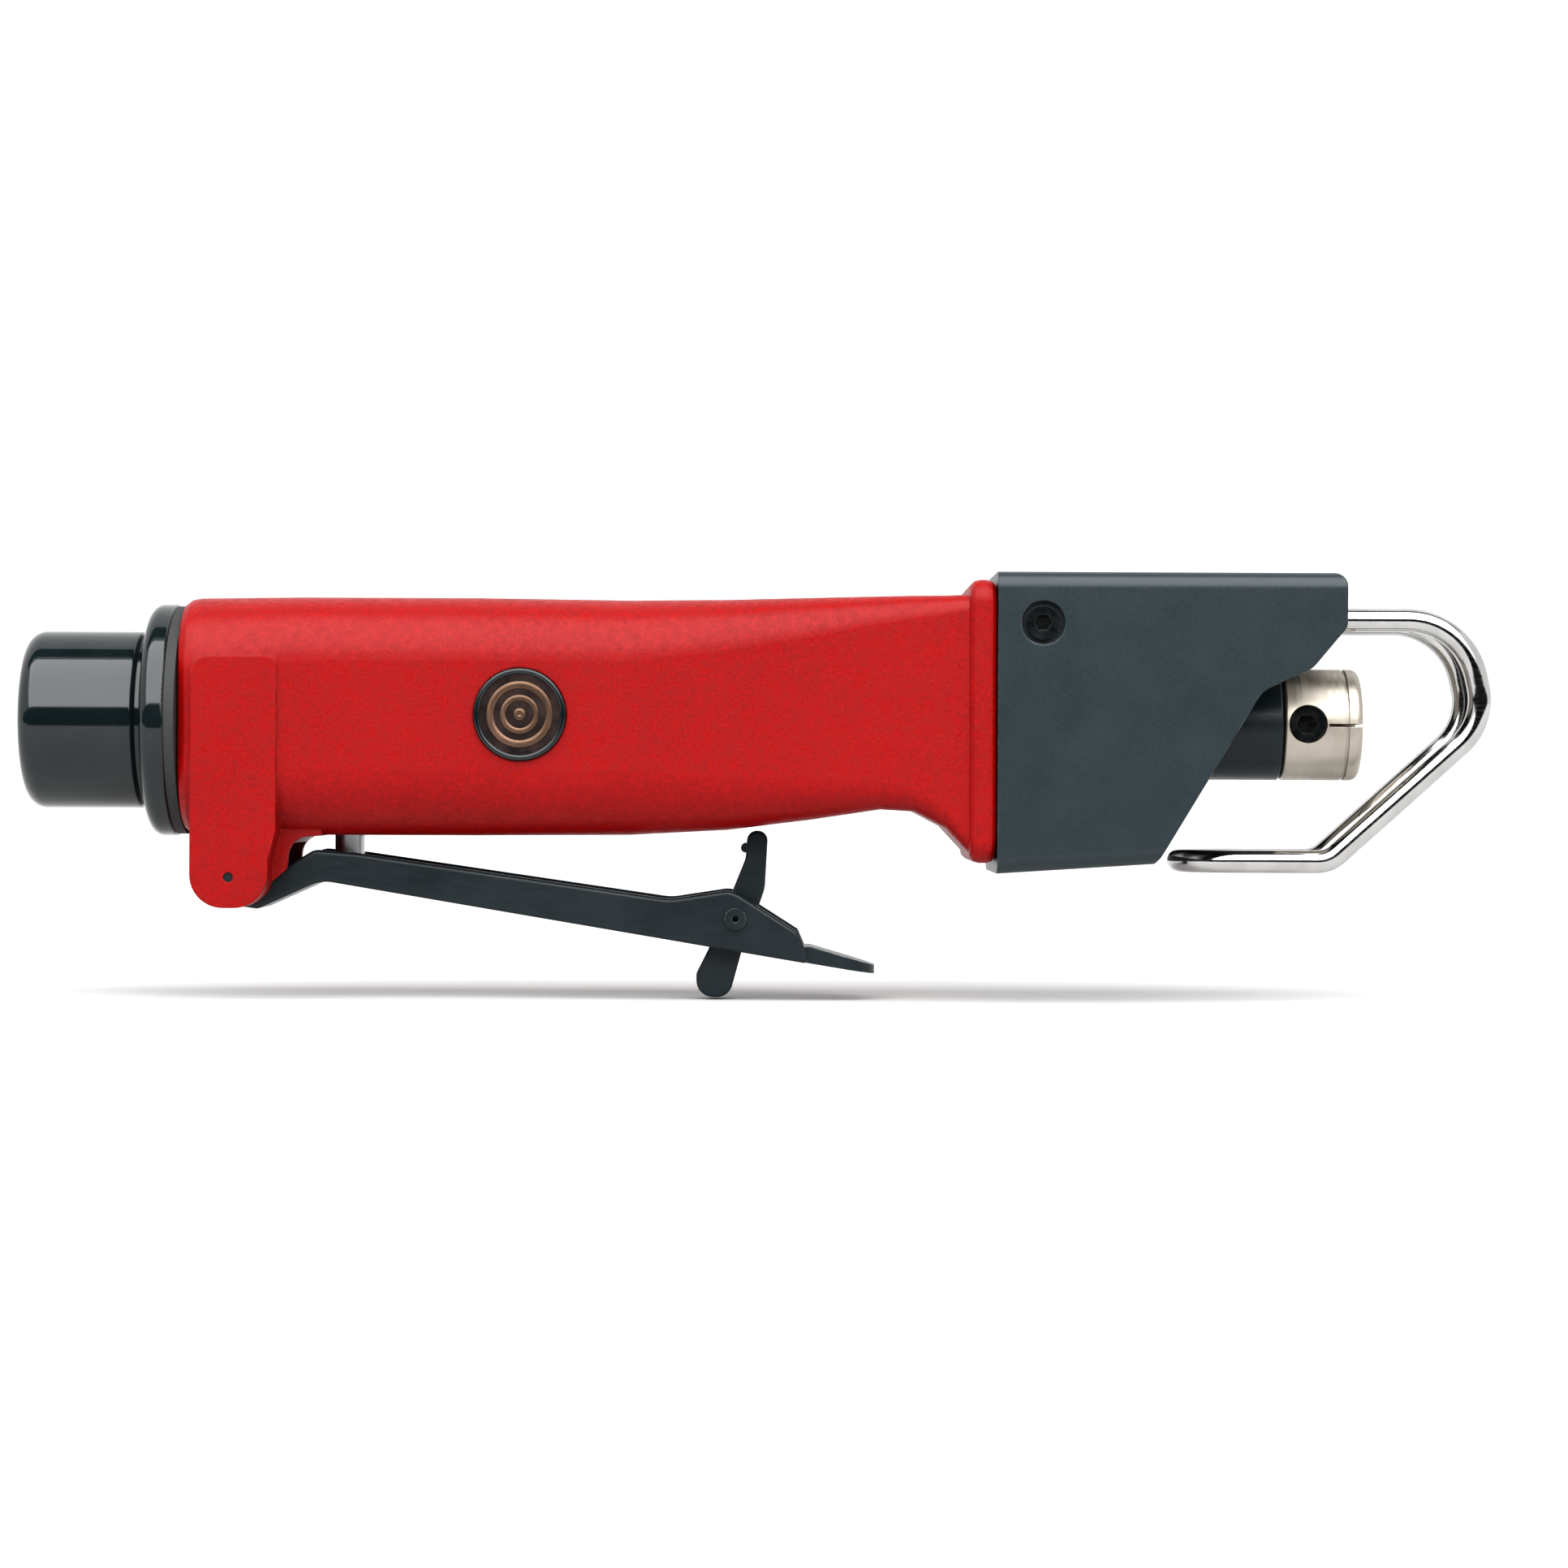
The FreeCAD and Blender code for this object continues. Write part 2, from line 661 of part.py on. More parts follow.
def latch_spring():
    body = new_body("latch_spring")
    sketch = new_sketch(body, "end")
    circle(sketch, 4.2, 1.75, 0.28)
    helix = add_feature(body, "AdditiveHelix", sketch)
    helix.ReferenceAxis = (sketch, ["H_Axis"])
    helix.Mode = 0
    helix.Pitch = 0.7
    helix.Height = 2.1
    doc.recompute()
    x, z = size("latch_pin_along"), size("latch_pin_up")
    body.Placement = FreeCAD.Placement(FreeCAD.Vector(x.value, 0, z.value), FreeCAD.Rotation())
    body.setExpression("Placement.Base.x", x.text)
    body.setExpression("Placement.Base.z", z.text)


# ---------------------------------------------------------------- motor


def valve_gear():
    start, plate, outer = size("chest_start"), size("plate_start"), size("cylinder_radius")
    turned("valve_chest", [
        (start, 3.2), (start + 2.5, 3.2), (start + 2.5, 7.6), (plate, 7.6), (plate, outer), (start, outer),
    ])
    turned("shuttle_valve", [
        (start + 2.7, 0), (start + 5.1, 0), (start + 5.1, 7.5), (start + 2.7, 7.5),
    ])
    body = turned("valve_plate", [
        (plate, 0), (size("cylinder_start"), 0), (size("cylinder_start"), outer), (plate, outer),
    ])
    drill_ring(body, size("cylinder_start") + 1, 6, 5.2, 1.1, 4.0)


def cylinder():
    start, end = size("cylinder_start"), size("cylinder_end")
    bore, outer = size("cylinder_bore_radius"), size("cylinder_radius")
    body = turned("cylinder", ring_corners(start, end, bore, outer))
    ports = new_sketch(body, "side")
    circle(ports, start + 18, 0, 1.4)
    extrude(body, "Pocket", ports, 30, symmetric=True)


def piston():
    start = size("piston_start")
    end = start + size("piston_length")
    radius = size("cylinder_bore_radius") - 0.03
    turned("piston", [
        (start, 0), (start + 18, 0), (start + 18, size("rod_radius")), (end, size("rod_radius")),
        (end, radius - 0.6), (end - 0.6, radius), (start + 12.5, radius), (start + 12.5, radius - 0.8),
        (start + 11.5, radius - 0.8), (start + 11.5, radius), (start + 0.6, radius), (start, radius - 0.6),
    ])
    tip = size("rod_end")
    rod = turned("piston_rod", ring_corners(start + 18, tip, 0, size("rod_radius")))
    slot = new_sketch(rod, "end", tip)
    half = size("blade_slot_half_width")
    rectangle(slot, -half, -6, half, 6)
    extrude(rod, "Pocket", slot, tip - size("slot_floor"))
    drill(rod, "side", 6, size("clamp_along"), 0, size("dog_radius"), 6)


def front_end():
    rod, outer = size("rod_radius"), size("cylinder_radius")
    end = size("cylinder_end")
    turned("piston_buffer", ring_corners(end - 4.5, end, 5.0, size("cylinder_bore_radius")))
    turned("front_head", ring_corners(end, size("head_end"), 5.6, outer))
    turned("rod_bushing", [
        (end, rod + 0.05), (size("head_end"), rod + 0.05), (size("head_end"), 5.6), (end, 5.6),
    ])
    seal_start = size("head_end")
    turned("rod_seal", ring_corners(seal_start, seal_start + 3, rod + 0.06, 6.2))


# ---------------------------------------------------------------- nose


def nose_sleeve():
    radius, rod = size("nose_radius"), size("rod_radius")
    start, face = size("head_end"), size("flange_end")
    body = turned("nose_sleeve", [
        (start, 6.2), (start + 3, 6.2), (start + 3, rod + 0.6), (size("nose_end") - 3, rod + 0.6),
        (size("nose_end") - 3, 6.2), (size("nose_end"), 6.2), (size("nose_end"), radius, 0.4), (face, radius),
        (face, size("cylinder_radius")), (start, size("cylinder_radius")),
    ])
    plate = new_sketch(body, "end", face)
    rectangle(plate, -16.9, -19.8, 16.9, 20.6, 3)
    circle(plate, 0, 0, radius - 1)
    extrude(body, "Pad", plate, size("nose_flange_end") - face)
    holes = new_sketch(body, "end", size("nose_flange_end"))
    recesses = new_sketch(body, "end", size("nose_flange_end"))
    for y in (-14.0, 14.0):
        for z in (-14.5, 14.5):
            circle(holes, y, z, 1.5)
            circle(recesses, y, z, 2.8)
    extrude(body, "Pocket", holes, 4)
    extrude(body, "Pocket", recesses, 1.8)


def sleeve_wiper():
    end = size("nose_end")
    turned("sleeve_wiper", ring_corners(end - 3, end - 0.4, size("rod_radius") + 0.06, 6.2))


def nose_screws():
    body = new_body("nose_screw")
    face = size("nose_flange_end")
    shank = new_sketch(body, "end", face - 9.5)
    circle(shank, -14, 14.5, 1.5)
    extrude(body, "Pad", shank, 8.0)
    head = new_sketch(body, "end", face - 1.8)
    circle(head, -14, 14.5, 2.75)
    extrude(body, "Pad", head, 1.7)
    socket = new_sketch(body, "end", face)
    hexagon(socket, -14, 14.5, 1.0)
    extrude(body, "Pocket", socket, 1.2)
    side_pair = mirrored_pair("nose_screw_pair", body, FreeCAD.Vector(0, 1, 0))
    mirrored_pair("nose_screws", side_pair, FreeCAD.Vector(0, 0, 1))


def hexagon(sketch, x, y, flat):
    """A hexagon whose flats lie at flat from its centre."""
    reach = flat / math.cos(math.pi / 6)
    angles = [math.pi / 3 * i for i in range(6)]
    outline(sketch, [(x + reach * math.cos(a), y + reach * math.sin(a)) for a in angles])


def guard_block():
    """The block inside the guard that the guard screws and the wire are fixed in."""
    body = new_body("guard_mount_block")
    start, end = size("nose_flange_end"), size("block_end")
    wall = size("guard_half_width") - size("guard_wall") - 0.08
    profile = new_sketch(body, "end", start)
    rectangle(profile, -wall, -20.2, wall, size("guard_top") - size("guard_wall") - 0.08, 1.3)
    circle(profile, 0, 0, size("nose_radius") + 0.05)
    extrude(body, "Pad", profile, end - start)
    drill(body, "side", 0, size("guard_screw_along"), size("guard_screw_up"), 1.7, 60, symmetric=True)
    wires = new_sketch(body, "end", end)
    circle(wires, size("wire_half_gap"), size("wire_top"), size("wire_radius"))
    circle(wires, -size("wire_half_gap"), size("wire_top"), size("wire_radius"))
    extrude(body, "Pocket", wires, end - size("wire_start"))
    threads = new_sketch(body, "plan", size("guard_top"))
    circle(threads, 176.0, size("wire_half_gap"), 2.0)
    circle(threads, 176.0, -size("wire_half_gap"), 2.0)
    extrude(body, "Pocket", threads, size("guard_top") - size("wire_top") - size("wire_radius"))


def wire_set_screws():
    body = new_body("wire_set_screw")
    bottom = size("wire_top") + size("wire_radius")
    shank = new_sketch(body, "plan", bottom)
    circle(shank, 176.0, size("wire_half_gap"), 2.0)
    extrude(body, "Pad", shank, 2.7)
    socket = new_sketch(body, "plan", bottom + 2.7)
    hexagon(socket, 176.0, SIZES["wire_half_gap"], 1.0)
    extrude(body, "Pocket", socket, 1.5)
    mirrored_pair("wire_set_screws", body, FreeCAD.Vector(0, 1, 0))


def guard():
    body = new_body("guard")
    start, end, top, bottom = size("guard_start"), size("guard_end"), size("guard_top"), size("guard_bottom")
    wall = size("guard_wall")
    half = size("guard_half_width")
    rise = 3.7
    loft(body, "AdditiveLoft", [
        section_sketch(body, start, half, bottom, top, 2.6),
        section_sketch(body, end, half, bottom + rise, top, 2.6),
    ])
    inside = half - wall
    loft(body, "SubtractiveLoft", [
        section_sketch(body, start, inside, bottom + wall, top - wall, 1.0),
        section_sketch(body, end, inside, bottom + rise + wall, top - wall, 1.0),
    ])
    cut = new_sketch(body, "side")
    outline(cut, [
        (178.6, -30.0), (186.2, bottom + 2.6, 2.5), (202.6, 5.2, 5), (210.6, 8.8, 4), (end, 15.6, 2),
        (end, top + 0.02, 2.2), (200.0, top + 0.02), (200.0, 30.0), (230.0, 30.0), (230.0, -30.0),
    ])
    extrude(body, "Pocket", cut, half * 2 + 2, symmetric=True)
    drill(body, "side", 0, size("guard_screw_along"), size("guard_screw_up"), 2.2, 60, symmetric=True)
    for side_plane, backwards in ((half, False), (-half, True)):
        drill(body, "side", side_plane, size("guard_screw_along"), size("guard_screw_up"), 3.55, 1.6,
              backwards=backwards)
    access = new_sketch(body, "plan", top + 1)
    circle(access, 176.0, size("wire_half_gap"), 2.2)
    circle(access, 176.0, -size("wire_half_gap"), 2.2)
    extrude(body, "Pocket", access, 5)


def guard_screws():
    body = new_body("guard_screw")
    half = size("guard_half_width")
    x, z = size("guard_screw_along"), size("guard_screw_up")
    shank = new_sketch(body, "side", half - 1.6)
    circle(shank, x, z, 1.7)
    extrude(body, "Pad", shank, 7.0, backwards=True)
    head = new_sketch(body, "side", half - 1.6)
    circle(head, x, z, 2.75)
    extrude(body, "Pad", head, 1.3)
    socket = new_sketch(body, "side", half)
    hexagon(socket, SIZES["guard_screw_along"], SIZES["guard_screw_up"], 1.25)
    extrude(body, "Pocket", socket, 1.4)
    mirrored_pair("guard_screws", body, FreeCAD.Vector(0, 1, 0))


def wire_guard():
    body = new_body("wire_guard")
    gap, radius = size("wire_half_gap"), size("wire_radius")
    bend = size("wire_bend_end")
    path = new_sketch(body, "side", gap)
    outline(path, [
        (size("wire_start"), size("wire_top")), (236.9, size("wire_top"), 11.5), (240.5, 0.5, 10.0),
        (214.8, size("wire_bottom"), 5.0), (bend, size("wire_bottom")),
    ], closed=False)
    profile = new_sketch(body, "end", size("wire_start"))
    circle(profile, -gap, size("wire_top"), radius)
    pipe = add_feature(body, "AdditivePipe", profile)
    pipe.Spine = path
    doc.recompute()
    mirrored = body.newObject("PartDesign::Mirrored", "Mirrored")
    mirrored.Originals = [pipe]
    mirrored.MirrorPlane = ([f for f in body.Origin.OriginFeatures if f.Role == "XZ_Plane"][0], [""])
    body.Tip = mirrored
    doc.recompute()
    turn = new_sketch(body, "end", bend)
    circle(turn, -gap, size("wire_bottom"), radius)
    spin(body, "Revolution", turn, "V_Axis", 180.0)
    body.Tip.Reversed = True
    doc.recompute()


def blade_chuck():
    start, end, radius = size("chuck_start"), size("chuck_end"), size("nose_radius")
    rod, tip = size("rod_radius"), size("rod_end")
    body = turned("blade_chuck", [
        (start, rod), (tip, rod), (tip, 0), (end, 0), (end, radius, 1.3),
        (end - 2.3, radius), (end - 2.3, radius - 0.5), (end - 2.9, radius - 0.5), (end - 2.9, radius),
        (start, radius, 0.4),
    ])
    slot = new_sketch(body, "end", end)
    half, high = size("blade_slot_half_width"), size("blade_slot_half_height")
    rectangle(slot, -half, -high, half, high)
    extrude(body, "Pocket", slot, end - size("slot_floor"))
    split = new_sketch(body, "side", radius + 1)
    rectangle(split, end - 5.7, -0.45, end + 1, 0.05)
    extrude(body, "Pocket", split, radius + 1 + half)
    drill(body, "side", radius + 1, size("clamp_along"), 0, size("clamp_radius"), radius + 1 - rod)
    drill(body, "side", radius + 1, size("clamp_along"), 0, size("dog_radius"), radius + 1)


def blade_clamp_screw():
    body = new_body("blade_clamp_screw")
    sketch = new_sketch(body, "side", size("rod_radius"))
    circle(sketch, size("clamp_along"), 0, size("clamp_radius"))
    extrude(body, "Pad", sketch, 3.2)
    dog = new_sketch(body, "side", size("blade_slot_half_width") + 0.1)
    circle(dog, size("clamp_along"), 0, size("dog_radius"))
    extrude(body, "Pad", dog, 3.6)
    socket = new_sketch(body, "side", 7.2)
    hexagon(socket, SIZES["clamp_along"], 0.0, 1.5)
    extrude(body, "Pocket", socket, 2.5)


def main():
    inlet_bushing()
    inlet_screen()
    exhaust_cap()
    exhaust_muffler()
    exhaust_collar()
    rear_gasket()
    motor_housing()
    badge()
    throttle_valve()
    lever_pin()
    throttle_lever()
    latch_pin()
    safety_latch()
    latch_spring()
    valve_gear()
    cylinder()
    piston()
    front_end()
    nose_sleeve()
    sleeve_wiper()
    nose_screws()
    guard_block()
    wire_set_screws()
    guard()
    guard_screws()
    wire_guard()
    blade_chuck()
    blade_clamp_screw()


main()
doc.recompute()

faults = []
for item in doc.Objects:
    if "Invalid" in item.State or "Error" in item.State:
        faults.append("%s of %s: %s" % (item.Name, item.getParentGeoFeatureGroup(), item.State))
for node in nodes:
    if node.Shape.isNull() or not node.Shape.isValid():
        faults.append("%s has no valid shape" % node.Label)
    print("%-26s solids %d  volume %9.1f" % (node.Label, len(node.Shape.Solids), node.Shape.Volume))
if faults:
    raise RuntimeError("\n".join(faults))

os.makedirs("parts", exist_ok=True)
for node in nodes:
    node.Shape.exportStep("parts/%s.step" % node.Label)
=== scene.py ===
"""How the air saw looks: finishes, small trim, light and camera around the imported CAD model."""

import json
import math

import bmesh
import bpy
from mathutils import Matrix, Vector

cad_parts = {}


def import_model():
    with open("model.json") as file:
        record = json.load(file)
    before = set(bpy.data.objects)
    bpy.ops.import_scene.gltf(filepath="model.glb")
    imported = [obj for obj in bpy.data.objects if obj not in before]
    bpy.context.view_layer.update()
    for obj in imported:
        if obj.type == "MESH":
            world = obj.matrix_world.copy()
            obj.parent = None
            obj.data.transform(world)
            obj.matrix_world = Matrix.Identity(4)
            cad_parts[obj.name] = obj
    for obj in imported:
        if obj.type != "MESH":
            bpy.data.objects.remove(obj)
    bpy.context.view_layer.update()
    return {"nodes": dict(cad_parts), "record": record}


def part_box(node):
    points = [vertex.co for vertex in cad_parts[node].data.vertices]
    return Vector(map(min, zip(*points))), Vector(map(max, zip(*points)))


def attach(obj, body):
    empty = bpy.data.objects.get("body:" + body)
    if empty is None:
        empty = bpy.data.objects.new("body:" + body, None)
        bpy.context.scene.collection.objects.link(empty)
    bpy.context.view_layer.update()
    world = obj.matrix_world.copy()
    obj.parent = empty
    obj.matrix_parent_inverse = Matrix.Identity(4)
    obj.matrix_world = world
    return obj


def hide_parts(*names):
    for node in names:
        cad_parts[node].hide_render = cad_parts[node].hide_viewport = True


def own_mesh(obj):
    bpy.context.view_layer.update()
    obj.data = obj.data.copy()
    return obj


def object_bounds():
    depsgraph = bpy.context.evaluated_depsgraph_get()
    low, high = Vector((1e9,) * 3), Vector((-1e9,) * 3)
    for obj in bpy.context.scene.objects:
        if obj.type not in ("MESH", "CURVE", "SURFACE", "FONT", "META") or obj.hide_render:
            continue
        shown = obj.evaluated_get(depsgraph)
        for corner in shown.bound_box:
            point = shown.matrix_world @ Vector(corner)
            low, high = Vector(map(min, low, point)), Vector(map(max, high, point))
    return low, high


MM = 0.001
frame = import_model()
nodes = frame["nodes"]


# ---------------------------------------------------------------- node trees

def new_material(name):
    """An empty material with one glossy shader, as (material, tree, shader)."""
    material = bpy.data.materials.new(name)
    material.use_nodes = True
    tree = material.node_tree
    shader = tree.nodes["Principled BSDF"]
    return material, tree, shader


def put(tree, kind, inputs=None, **settings):
    """Adds a node, sets its properties and its inputs: an input is a number or another node's output."""
    node = tree.nodes.new(kind)
    for key, value in settings.items():
        setattr(node, key, value)
    for key, value in (inputs or {}).items():
        socket = node.inputs[key]
        if isinstance(value, bpy.types.NodeSocket):
            tree.links.new(value, socket)
        else:
            socket.default_value = value
    return node


def place(tree):
    """Points on the object, in metres."""
    return put(tree, "ShaderNodeTexCoord").outputs["Object"]


def stretched(tree, scale):
    """Points on the object, stretched by a factor along each axis."""
    return put(tree, "ShaderNodeMapping", {"Vector": place(tree), "Scale": scale}).outputs["Vector"]


def noise(tree, size_mm, detail=3.0, rough=0.55, where=None, distortion=0.0):
    """Smooth noise, 0 to 1, whose blotches are about size_mm across."""
    return put(tree, "ShaderNodeTexNoise", {
        "Vector": where or place(tree),
        "Scale": 1.0 / (size_mm * MM),
        "Detail": detail,
        "Roughness": rough,
        "Distortion": distortion,
    }).outputs["Fac"]


def span(tree, value, low, high, to_low=0.0, to_high=1.0):
    """value mapped from low..high to to_low..to_high and held there."""
    return put(tree, "ShaderNodeMapRange", {
        "Value": value,
        "From Min": low,
        "From Max": high,
        "To Min": to_low,
        "To Max": to_high,
    }, clamp=True).outputs["Result"]


def maths(tree, operation, a, b=0.0):
    """One sum on two values; each is a number or another node's output."""
    node = put(tree, "ShaderNodeMath", operation=operation)
    for socket, value in zip(node.inputs, (a, b)):
        if isinstance(value, bpy.types.NodeSocket):
            tree.links.new(value, socket)
        else:
            socket.default_value = value
    return node.outputs[0]


def blend_colours(tree, factor, first, second):
    """A mix of two colours; each is a colour or another node's output."""
    node = put(tree, "ShaderNodeMix", {"Factor": factor}, data_type="RGBA")
    for name, value in (("A", first), ("B", second)):
        socket = [s for s in node.inputs if s.name == name and s.type == "RGBA"][0]
        if isinstance(value, bpy.types.NodeSocket):
            tree.links.new(value, socket)
        else:
            socket.default_value = (*value, 1.0)
    return [s for s in node.outputs if s.type == "RGBA"][0]


def edges(tree, width_mm):
    """1 along sharp edges and 0 on open faces: how far the rounded normal leans from the true one."""
    soft = put(tree, "ShaderNodeBevel", {"Radius": width_mm * MM}, samples=4).outputs["Normal"]
    true = put(tree, "ShaderNodeNewGeometry").outputs["Normal"]
    facing = put(tree, "ShaderNodeVectorMath", {0: soft, 1: true}, operation="DOT_PRODUCT").outputs["Value"]
    first_lean = 0.02
    full_lean = 0.22
    return span(tree, maths(tree, "SUBTRACT", 1.0, facing), first_lean, full_lean)


def worn_edges(tree, width_mm, patch_mm, amount):
    """Edge wear broken into patches, 0 to amount."""
    patches = span(tree, noise(tree, patch_mm, 4.0, 0.7), 0.42, 0.62)
    return maths(tree, "MULTIPLY", maths(tree, "MULTIPLY", edges(tree, width_mm), patches), amount)


def eased(tree, radius_mm):
    """The surface normal with every sharp edge eased over by a small radius."""
    return put(tree, "ShaderNodeBevel", {"Radius": radius_mm * MM}, samples=4).outputs["Normal"]


def bump(tree, height, depth_mm, under, strength=1.0):
    """The normal under, tilted by a height field whose full range is depth_mm."""
    return put(tree, "ShaderNodeBump", {
        "Height": height,
        "Distance": depth_mm * MM,
        "Strength": strength,
        "Normal": under,
    }).outputs["Normal"]


# ---------------------------------------------------------------- finishes

def red_paint():
    """Semi-gloss red coat with the fine orange-peel grain of a sprayed casting."""
    material, tree, shader = new_material("red_paint")
    grain = noise(tree, 0.5, 3.0, 0.6)
    peel = noise(tree, 1.5, 3.0, 0.6)
    cloud = noise(tree, 22.0, 2.0, 0.5)
    deep = (0.172, 0.0007, 0.0010)
    bright = (0.256, 0.0016, 0.0018)
    base = blend_colours(tree, span(tree, grain, 0.32, 0.68), deep, bright)
    base = blend_colours(tree, span(tree, peel, 0.38, 0.68, 0.0, 0.45), base, (0.135, 0.0005, 0.0008))
    base = blend_colours(tree, span(tree, cloud, 0.35, 0.7, 0.0, 0.25), base, (0.255, 0.0024, 0.0026))
    base = blend_colours(tree, worn_edges(tree, 0.35, 3.0, 0.30), base, (0.60, 0.07, 0.05))
    tree.links.new(base, shader.inputs["Base Color"])
    tree.links.new(span(tree, peel, 0.3, 0.7, 0.33, 0.46), shader.inputs["Roughness"])
    shader.inputs["Specular IOR Level"].default_value = 0.18
    relief = bump(tree, peel, 0.045, eased(tree, 0.4))
    tree.links.new(bump(tree, grain, 0.028, relief), shader.inputs["Normal"])
    return material


def black_gloss():
    """Polished black plastic with faint hairlines and dust."""
    material, tree, shader = new_material("black_gloss")
    dust = noise(tree, 0.25, 2.0, 0.5)
    cloud = noise(tree, 9.0, 3.0, 0.6)
    hairs = noise(tree, 0.9, 3.0, 0.7, where=stretched(tree, (0.08, 1.0, 1.0)))
    base = blend_colours(tree, span(tree, cloud, 0.3, 0.7), (0.0035, 0.0065, 0.0075), (0.007, 0.011, 0.012))
    base = blend_colours(tree, span(tree, dust, 0.66, 0.78, 0.0, 0.3), base, (0.05, 0.055, 0.055))
    base = blend_colours(tree, worn_edges(tree, 0.2, 2.0, 0.4), base, (0.06, 0.065, 0.065))
    tree.links.new(base, shader.inputs["Base Color"])
    shader.inputs["Specular IOR Level"].default_value = 0.5
    tree.links.new(span(tree, hairs, 0.35, 0.75, 0.05, 0.10), shader.inputs["Roughness"])
    tree.links.new(bump(tree, cloud, 0.02, eased(tree, 0.25), 0.5), shader.inputs["Normal"])
    return material


def black_rubber():
    """Matt black rubber with a fine dusty grain."""
    material, tree, shader = new_material("black_rubber")
    grain = noise(tree, 0.3, 4.0, 0.65)
    base = blend_colours(tree, span(tree, grain, 0.3, 0.7), (0.010, 0.010, 0.010), (0.030, 0.030, 0.030))
    tree.links.new(base, shader.inputs["Base Color"])
    tree.links.new(span(tree, grain, 0.3, 0.7, 0.62, 0.82), shader.inputs["Roughness"])
    tree.links.new(bump(tree, grain, 0.03, eased(tree, 0.2)), shader.inputs["Normal"])
    return material


def slate_coat():
    """Fine satin slate coat over the pressed guard."""
    material, tree, shader = new_material("slate_coat")
    grain = noise(tree, 0.28, 3.0, 0.6)
    ripple = noise(tree, 6.0, 3.0, 0.55)
    cloud = noise(tree, 30.0, 2.0, 0.5)
    deep = (0.0060, 0.0130, 0.0160)
    bright = (0.0115, 0.0205, 0.0245)
    base = blend_colours(tree, span(tree, grain, 0.3, 0.7), deep, bright)
    base = blend_colours(tree, span(tree, cloud, 0.3, 0.75, 0.0, 0.2), base, (0.014, 0.022, 0.026))
    base = blend_colours(tree, worn_edges(tree, 0.3, 2.0, 0.5), base, (0.20, 0.21, 0.21))
    tree.links.new(base, shader.inputs["Base Color"])
    tree.links.new(span(tree, ripple, 0.3, 0.7, 0.33, 0.38), shader.inputs["Roughness"])
    shader.inputs["Specular IOR Level"].default_value = 0.42
    relief = bump(tree, ripple, 0.02, eased(tree, 0.5))
    tree.links.new(bump(tree, grain, 0.010, relief), shader.inputs["Normal"])
    return material


def dark_steel():
    """Black-oxide steel: cool near-black, rubbed brighter along its edges."""
    material, tree, shader = new_material("dark_steel")
    grain = noise(tree, 0.22, 3.0, 0.6)
    drawn = noise(tree, 0.7, 4.0, 0.65, where=stretched(tree, (0.15, 1.0, 1.0)))
    cloud = noise(tree, 12.0, 3.0, 0.6)
    deep = (0.0045, 0.0090, 0.0110)
    bright = (0.0105, 0.0160, 0.0190)
    base = blend_colours(tree, span(tree, cloud, 0.3, 0.7), deep, bright)
    base = blend_colours(tree, worn_edges(tree, 0.25, 1.6, 0.6), base, (0.30, 0.31, 0.32))
    tree.links.new(base, shader.inputs["Base Color"])
    shader.inputs["Specular IOR Level"].default_value = 0.28
    tree.links.new(span(tree, drawn, 0.3, 0.7, 0.26, 0.40), shader.inputs["Roughness"])
    tree.links.new(bump(tree, grain, 0.008, eased(tree, 0.25)), shader.inputs["Normal"])
    return material


def black_screw_with_recess_shade():
    """Oiled black-oxide screws: nearly black, partly the oxide's own colour and partly painted shade of the
    counterbores and the hole they sit in; a little glossy, worn on the rims of the sockets.
    """
    material, tree, shader = new_material("black_screw_with_recess_shade")
    cloud = noise(tree, 2.0, 3.0, 0.6)
    grain = noise(tree, 0.18, 3.0, 0.6)
    # deep and bright: black oxide darkened further as painted shade of the recesses the screws sit in
    deep = (0.0020, 0.0028, 0.0032)
    bright = (0.0050, 0.0065, 0.0072)
    base = blend_colours(tree, span(tree, cloud, 0.3, 0.7), deep, bright)
    base = blend_colours(tree, worn_edges(tree, 0.15, 0.8, 0.35), base, (0.16, 0.17, 0.17))
    tree.links.new(base, shader.inputs["Base Color"])
    tree.links.new(span(tree, cloud, 0.3, 0.7, 0.18, 0.30), shader.inputs["Roughness"])
    shader.inputs["Specular IOR Level"].default_value = 0.35
    tree.links.new(bump(tree, grain, 0.006, eased(tree, 0.15)), shader.inputs["Normal"])
    return material


def turned_metal(name, dark, light, roughness, groove_mm, axis=(1.0, 0.02, 0.02)):
    """Metal with fine turning marks: rings that run across the given axis."""
    material, tree, shader = new_material(name)
    rings = noise(tree, groove_mm, 3.0, 0.7, where=stretched(tree, axis))
    cloud = noise(tree, 7.0, 3.0, 0.55)
    base = blend_colours(tree, span(tree, cloud, 0.3, 0.7), dark, light)
    bare = tuple(min(1.0, channel * 1.2) for channel in light)
    base = blend_colours(tree, worn_edges(tree, 0.2, 1.2, 0.4), base, bare)
    tree.links.new(base, shader.inputs["Base Color"])
    shader.inputs["Metallic"].default_value = 1.0
    smeared = span(tree, rings, 0.3, 0.7, roughness * 0.8, roughness * 1.25)
    tree.links.new(smeared, shader.inputs["Roughness"])
    tree.links.new(bump(tree, rings, 0.006, eased(tree, 0.15)), shader.inputs["Normal"])
    return material


def bright_wire():
    """Chromed wire: nearly a mirror, with a few drawn lines along it."""
    material, tree, shader = new_material("bright_wire")
    lines = noise(tree, 0.35, 3.0, 0.6, where=stretched(tree, (0.06, 1.0, 1.0)))
    cloud = noise(tree, 5.0, 3.0, 0.5)
    base = blend_colours(tree, span(tree, cloud, 0.3, 0.7), (0.42, 0.415, 0.41), (0.52, 0.515, 0.505))
    tree.links.new(base, shader.inputs["Base Color"])
    shader.inputs["Metallic"].default_value = 1.0
    tree.links.new(span(tree, lines, 0.35, 0.7, 0.09, 0.16), shader.inputs["Roughness"])
    tree.links.new(bump(tree, cloud, 0.03, eased(tree, 0.15), 0.6), shader.inputs["Normal"])
    return material


